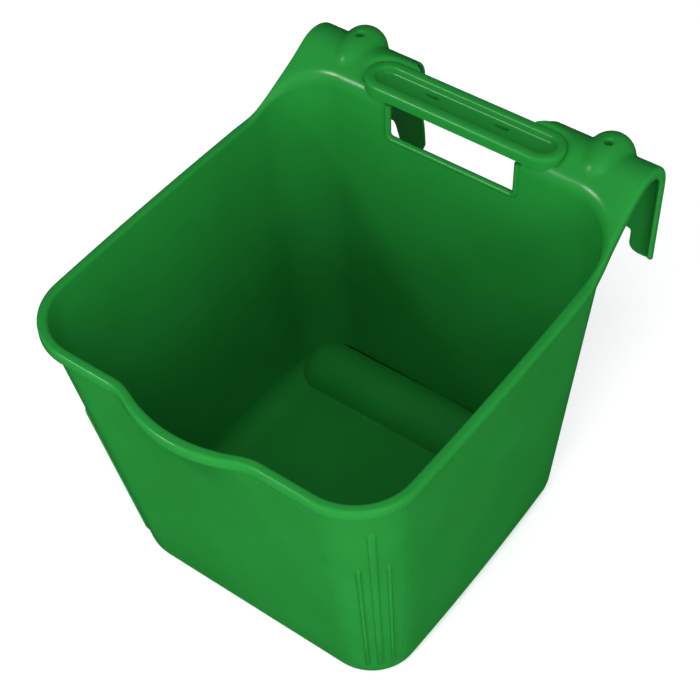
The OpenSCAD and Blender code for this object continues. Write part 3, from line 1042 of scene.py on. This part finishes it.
@dataclass
class CornerRibs:
    """Three upright ribs on each front corner, with ramped ends."""

    outline: WallOutline = field(default_factory=WallOutline)
    out: float = 1.6
    foot: float = 28.0
    tops: tuple[float, float, float] = (195.0, 246.0, 195.0)
    middles: tuple[float, float, float] = (4.4, 6.3, 8.2)
    halves: tuple[float, float, float] = (0.30, 0.50, 0.30)

    def rib(self, bm: bmesh.types.BMesh, k: int) -> None:
        """Extrudes one rib up the corner.

        Args:
            bm: The mesh being built.
            k: Which rib, 0 to 2.
        """
        i, half, top = self.middles[k], self.halves[k], self.tops[k]
        heights = [self.foot, self.foot + 1.5, self.foot + 4]
        heights += [self.foot + 4 + (top - self.foot - 12) * f for f in (0.25, 0.5, 0.75, 1)]
        heights += [top - 4, top - 1.5, top]
        lift = [-0.4, 0.5, 1.0, 1, 1, 1, 1.0, 0.75, 0.2, -0.4]
        rings = []
        for z, h in zip(heights, lift):
            ring = []
            for a in range(0, 9):
                t = math.pi * a / 8
                tall = self.out * h * math.sin(t) ** 0.75 if 0 < a < 8 else -0.35
                ring.append(placed(*self.outline.point(i - half * math.cos(t), z, -tall), z))
            rings.append(ring)
        row = new_row(bm, rings[0])
        for ring in rings[1:]:
            row = extrude_row(bm, row, ring)

    def build(self, name: str, half: Half, finish: bpy.types.Material) -> bpy.types.Object:
        """Builds the three ribs of one corner.

        Args:
            name: Name of the piece.
            half: The half of the bucket the corner is on.
            finish: The material.

        Returns:
            The piece.
        """
        bm = bmesh.new()
        for k in range(3):
            self.rib(bm, k)
        if half is Half.LEFT:
            bmesh.ops.scale(bm, vec=(-1, 1, 1), verts=list(bm.verts))
        bmesh.ops.recalc_face_normals(bm, faces=list(bm.faces))
        centre = Vector((0, 0.05, 0.15))
        wrong = sum(1 for f in bm.faces if f.normal.dot(f.calc_center_median() - centre) < 0)
        if wrong > len(bm.faces) / 2:
            bmesh.ops.reverse_faces(bm, faces=list(bm.faces))
        return add_piece(name, bm, finish)


@dataclass
class Studio:
    """Pale floor, soft lights and the camera."""

    place: tuple[float, float, float] = (0.48552, -0.631, 1.08415)
    around: float = math.radians(37.33)
    above: float = math.radians(48.13)
    roll: float = math.radians(-1.63)
    lens: float = 84.31

    def camera(self) -> None:
        """Sets the camera up."""
        data = bpy.data.cameras.new("camera")
        data.lens, data.sensor_width = self.lens, 36
        data.clip_start, data.clip_end = 0.05, 30
        cam = bpy.data.objects.new("camera", data)
        bpy.context.scene.collection.objects.link(cam)
        level = math.cos(self.above)
        back = Vector((math.sin(self.around) * level, -math.cos(self.around) * level, math.sin(self.above)))
        right = Vector((math.cos(self.around), math.sin(self.around), 0))
        up = back.cross(right)
        x = right * math.cos(self.roll) + up * math.sin(self.roll)
        y = up * math.cos(self.roll) - right * math.sin(self.roll)
        turn = Matrix((x, y, back)).transposed().to_4x4()
        cam.matrix_world = Matrix.Translation(self.place) @ turn
        bpy.context.scene.camera = cam

    def light(
        self,
        name: str,
        place: Sequence[float],
        aim: Sequence[float],
        size: float,
        power: float,
        shines: bool = False,
    ) -> None:
        """Adds one soft square light.

        Args:
            name: Name of the light.
            place: Where it hangs, in metres.
            aim: The point it faces.
            size: Length of its side.
            power: Its power in watts.
            shines: True if it is mirrored in glossy surfaces.
        """
        data = bpy.data.lights.new(name, "AREA")
        data.shape, data.size, data.energy = "SQUARE", size, power
        lamp = bpy.data.objects.new(name, data)
        bpy.context.scene.collection.objects.link(lamp)
        lamp.location = place
        lamp.visible_glossy = shines
        lamp.rotation_mode = "QUATERNION"
        lamp.rotation_quaternion = (Vector(aim) - Vector(place)).to_track_quat("-Z", "Y")

    def build(self) -> None:
        """Builds the floor, the lights and the surroundings."""
        bm = bmesh.new()
        bmesh.ops.create_grid(bm, x_segments=1, y_segments=1, size=12)
        mesh = bpy.data.meshes.new("floor")
        bm.to_mesh(mesh)
        bm.free()
        mesh.materials.append(StudioPaper().material())
        floor = bpy.data.objects.new("floor", mesh)
        bpy.context.scene.collection.objects.link(floor)
        floor.visible_glossy = False
        world = bpy.data.worlds.new("studio")
        bpy.context.scene.world = world
        world.use_nodes = True
        world.cycles_visibility.glossy = False
        sky = world.node_tree.nodes["Background"]
        sky.inputs["Color"].default_value = (0.95, 0.97, 1.0, 1)
        sky.inputs["Strength"].default_value = 0.5
        self.light("key", (-1.0, -1.5, 1.45), (0, 0.1, 0.3), 0.30, 9, shines=True)
        self.light("fill", (0.55, -0.75, 1.7), (0, 0.05, 0.1), 0.9, 17)
        self.light("side", (2.2, -0.9, 0.9), (0, 0.0, 0.15), 1.4, 44)
        self.light("front", (-0.3, -2.4, 0.9), (0, 0.0, 0.15), 1.4, 36)
        bpy.context.scene.view_settings.view_transform = "Standard"


def bucket_nodes(frame: dict) -> dict[str, list[str]]:
    """Shares the frame's nodes out between the pieces that stand for them.

    Args:
        frame: The loaded frame.

    Returns:
        Node names by piece name.
    """
    shared: dict[str, list[str]] = {
        "tub_and_saddle": [],
        "handle_tray": ["handle_bar"],
        "hand_grip_scoop": ["hand_grip"],
        "corner_ribs_left_side": ["corner_ribs_left"],
        "corner_ribs_right_side": ["corner_ribs_right"],
    }
    taken = {n for names in shared.values() for n in names}
    shared["tub_and_saddle"] = sorted(set(frame["nodes"]) - taken)
    return shared


def main() -> None:
    """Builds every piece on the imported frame."""
    logging.basicConfig(level=logging.INFO, format="%(name)s: %(message)s")
    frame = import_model()
    studio = Studio()
    studio.camera()
    studio.build()
    finish = MouldedPlastic().material()
    pieces = [part.build(finish) for part in (Shell(), HandleTray(), HandGrip(), OpeningBead())]
    for half in Half:
        pieces.append(CornerRibs().build(f"corner_ribs_{half.name.lower()}_side", half, finish))
    nodes = bucket_nodes(frame)
    for piece in pieces:
        if nodes.get(piece.name):
            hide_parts(*nodes[piece.name])
        log.info("%s: %d faces", piece.name, len(piece.data.polygons))


if __name__ == "__main__":
    main()
